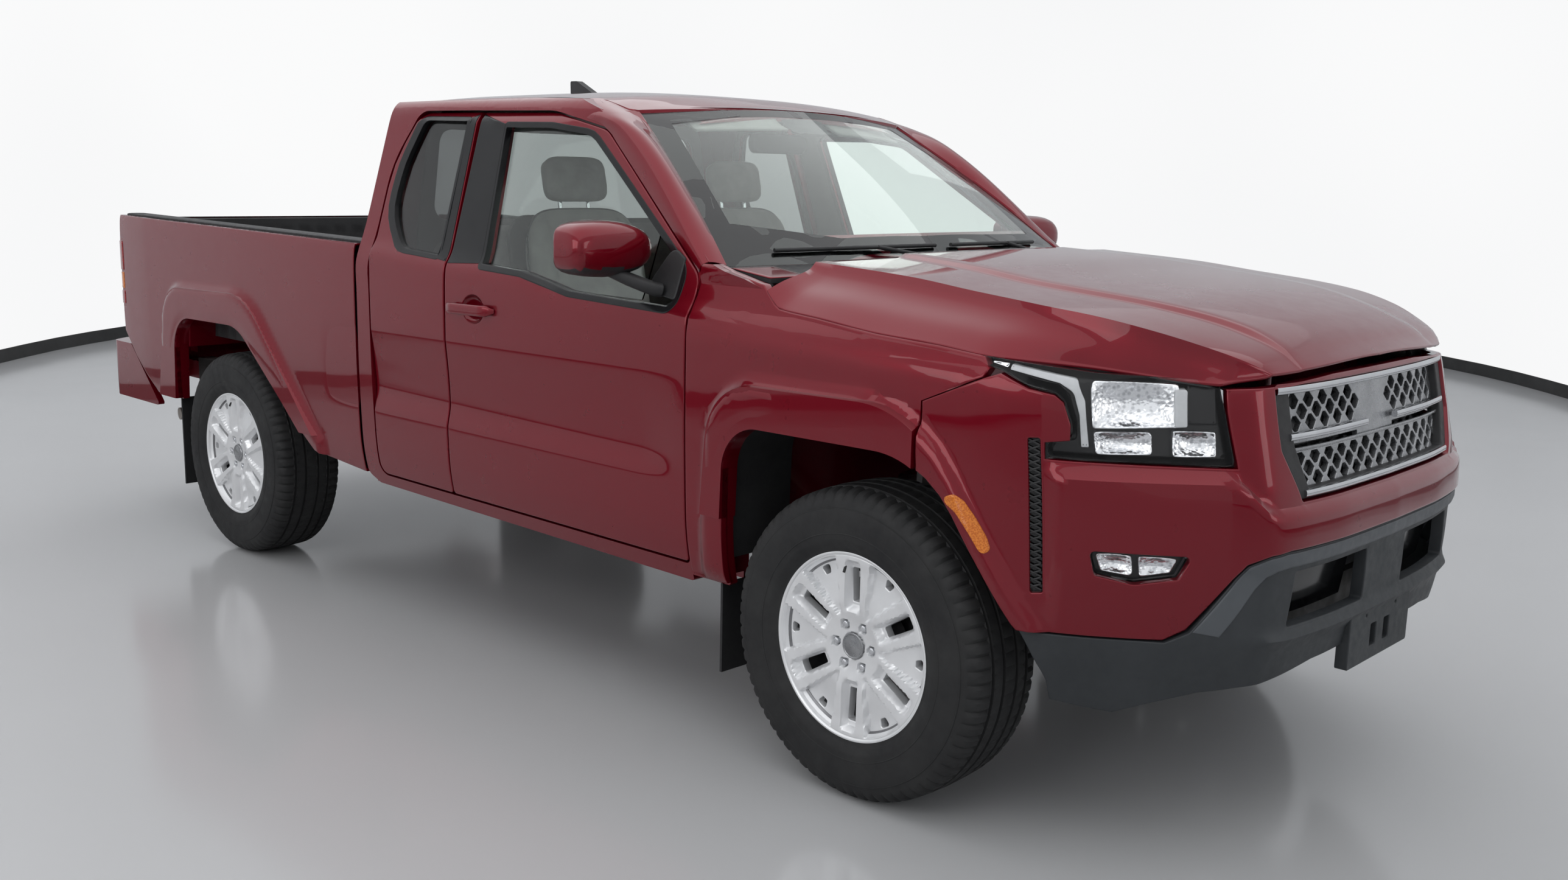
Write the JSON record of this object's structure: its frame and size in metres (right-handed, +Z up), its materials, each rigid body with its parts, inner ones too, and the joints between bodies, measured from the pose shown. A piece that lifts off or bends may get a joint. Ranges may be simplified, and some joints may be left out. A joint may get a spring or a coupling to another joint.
{
  "type": "pickup truck",
  "caption": "extended-cab pickup truck with an open load bed, opening doors, hood and tailgate, and steered front wheels",
  "frame": {"origin": "on the ground, at the centre of the truck's length and width", "axes": "+Z up, -Y towards the nose, +X towards the side of the steering wheel"},
  "size_m": [2.23, 5.339, 1.8459],
  "materials": {
    "paint": "deep red metallic",
    "frame_black": "satin black",
    "engine_metal": "cast",
    "exhaust_steel": "dull",
    "black_plastic": "textured",
    "gloss_black": "gloss",
    "chrome_trim": "bright",
    "lamp_clear": "clear",
    "lamp_red": "gloss",
    "tinted": "tinted",
    "tyre_rubber": "ribbed",
    "alloy": "bright",
    "interior": "grained",
    "cloth": "woven"
  },
  "bodies": {
    "chassis": {"frame": "frame_black", "engine": "engine_metal", "driveline": "engine_metal", "exhaust": "exhaust_steel", "fuel_tank": "black_plastic", "spare_wheel": "tyre_rubber", "rear_axle": "frame_black", "rear_suspension": "frame_black", "front_suspension": "frame_black", "cab": "paint", "windscreen": "tinted", "rear_glass": "tinted", "front_fenders": "paint", "front_bumper": "paint", "bumper_valance": "black_plastic", "grille": "chrome_trim", "headlamps": "lamp_clear", "radiator": "black_plastic", "cowl": "black_plastic", "arch_liners": "black_plastic", "bed": "paint", "bed_liner": "black_plastic", "tail_lamps": "lamp_red", "rear_bumper": "paint", "mud_flaps": "black_plastic", "antenna": "gloss_black", "dashboard": "interior", "seats": "cloth"},
    "hood_body": {"hood": "paint"},
    "tailgate_body": {"tailgate": "paint"},
    "steering_wheel_body": {"steering_wheel": "gloss_black"},
    "front_door_right": {"door_front_right": "paint", "glass_front_right": "tinted", "mirror_right": "paint"},
    "rear_door_right": {"door_rear_right": "paint", "glass_rear_right": "tinted"},
    "steering_knuckle_right": {"knuckle_right": "engine_metal"},
    "wheel_front_right": {"tyre_front_right": "tyre_rubber", "rim_front_right": "alloy"},
    "wheel_rear_right": {"tyre_rear_right": "tyre_rubber", "rim_rear_right": "alloy"},
    "front_door_left": {"door_front_left": "paint", "glass_front_left": "tinted", "mirror_left": "paint"},
    "rear_door_left": {"door_rear_left": "paint", "glass_rear_left": "tinted"},
    "steering_knuckle_left": {"knuckle_left": "engine_metal"},
    "wheel_front_left": {"tyre_front_left": "tyre_rubber", "rim_front_left": "alloy"},
    "wheel_rear_left": {"tyre_rear_left": "tyre_rubber", "rim_rear_left": "alloy"}
  },
  "joints": [
    {"name": "hood_hinge", "type": "hinge", "parent": "chassis", "child": "hood_body", "pos_m": [0, -1.3555, 1.23], "axis": [-1, 0, 0], "range_deg": [0, 50]},
    {"name": "tailgate_hinge", "type": "hinge", "parent": "chassis", "child": "tailgate_body", "pos_m": [0, 2.4425, 0.815], "axis": [-1, 0, 0], "range_deg": [0, 90]},
    {"name": "front_door_hinge_right", "type": "hinge", "parent": "chassis", "child": "front_door_right", "pos_m": [-0.893, -1.0775, 0.85], "axis": [0, 0, 1], "range_deg": [0, 65]},
    {"name": "rear_door_hinge_right", "type": "hinge", "parent": "chassis", "child": "rear_door_right", "pos_m": [-0.893, 0.3525, 0.85], "axis": [0, 0, -1], "range_deg": [0, 80]},
    {"name": "front_door_hinge_left", "type": "hinge", "parent": "chassis", "child": "front_door_left", "pos_m": [0.893, -1.0775, 0.85], "axis": [0, 0, -1], "range_deg": [0, 65]},
    {"name": "rear_door_hinge_left", "type": "hinge", "parent": "chassis", "child": "rear_door_left", "pos_m": [0.893, 0.3525, 0.85], "axis": [0, 0, 1], "range_deg": [0, 80]},
    {"name": "steer_right", "type": "hinge", "parent": "chassis", "child": "steering_knuckle_right", "pos_m": [-0.715, -1.7375, 0.395], "axis": [0, 0, 1], "range_deg": [-33, 33]},
    {"name": "wheel_spin_front_right", "type": "hinge", "parent": "steering_knuckle_right", "child": "wheel_front_right", "pos_m": [-0.785, -1.7375, 0.395], "axis": [1, 0, 0], "continuous": true},
    {"name": "wheel_spin_rear_right", "type": "hinge", "parent": "chassis", "child": "wheel_rear_right", "pos_m": [-0.785, 1.4625, 0.395], "axis": [1, 0, 0], "continuous": true},
    {"name": "steer_left", "type": "hinge", "parent": "chassis", "child": "steering_knuckle_left", "pos_m": [0.715, -1.7375, 0.395], "axis": [0, 0, 1], "range_deg": [-33, 33]},
    {"name": "wheel_spin_front_left", "type": "hinge", "parent": "steering_knuckle_left", "child": "wheel_front_left", "pos_m": [0.785, -1.7375, 0.395], "axis": [1, 0, 0], "continuous": true},
    {"name": "wheel_spin_rear_left", "type": "hinge", "parent": "chassis", "child": "wheel_rear_left", "pos_m": [0.785, 1.4625, 0.395], "axis": [1, 0, 0], "continuous": true},
    {"name": "steering_wheel_turn", "type": "hinge", "parent": "chassis", "child": "steering_wheel_body", "pos_m": [0.375, -0.7275, 1.06], "axis": [0, 0.9304, 0.3665], "range_deg": [-470, 470]}
  ],
  "couplings": [
    {"joint": "steer_left", "follows": "steer_right", "ratio": 1},
    {"joint": "steering_wheel_turn", "follows": "steer_right", "ratio": 14}
  ]
}
